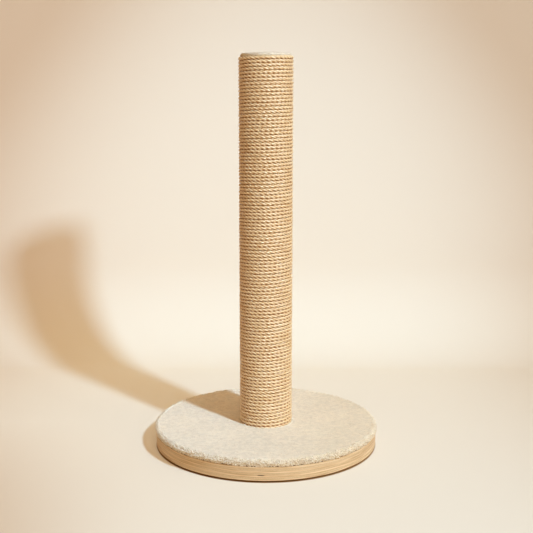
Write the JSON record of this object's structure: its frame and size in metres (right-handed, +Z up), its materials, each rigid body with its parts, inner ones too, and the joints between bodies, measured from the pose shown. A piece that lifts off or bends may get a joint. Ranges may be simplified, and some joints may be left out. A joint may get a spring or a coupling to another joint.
{
  "type": "cat scratching post",
  "caption": "Free-standing cat scratching post: rope-wound round column on a plush-carpeted round plywood base, with a low plush cap.",
  "frame": {"origin": "on the floor under the middle of the round base", "axes": "+Z up along the post; -Y is the front as pictured, +X to its right"},
  "size_m": [0.401, 0.401, 0.697],
  "materials": {
    "plywood": "bare sawn edge with fine plies, satin",
    "carpet_plush": "cream cut plush pile",
    "cap_plush": "cream short plush",
    "sisal_rope": "natural three-strand sisal, hairy",
    "tube_board": "spiral-wound cardboard, matt",
    "plug_wood": "turned pine, matt",
    "fibreboard": "thin hardboard, matt",
    "zinc_steel": "bright zinc-plated steel",
    "pad_rubber": "dark matt grip rubber"
  },
  "bodies": {
    "root": {"base_board": "plywood", "base_carpet": "carpet_plush", "cap_board": "fibreboard", "cap_plush": "cap_plush", "cap_screws": "zinc_steel", "grip_pad_1": "pad_rubber", "grip_pad_2": "pad_rubber", "grip_pad_3": "pad_rubber", "grip_pad_4": "pad_rubber", "grip_pad_5": "pad_rubber", "grip_pad_6": "pad_rubber", "lower_plug": "plug_wood", "lower_plug_nails": "zinc_steel", "penny_washer": "zinc_steel", "post_bolt": "zinc_steel", "post_tube": "tube_board", "rope_tack_lower": "zinc_steel", "rope_tack_upper": "zinc_steel", "rope_turns_1": "sisal_rope", "rope_turns_2": "sisal_rope", "rope_turns_3": "sisal_rope", "rope_turns_4": "sisal_rope", "rope_turns_5": "sisal_rope", "spring_washer": "zinc_steel", "tee_nut": "zinc_steel", "upper_plug": "plug_wood", "upper_plug_nails": "zinc_steel"}
  },
  "joints": []
}
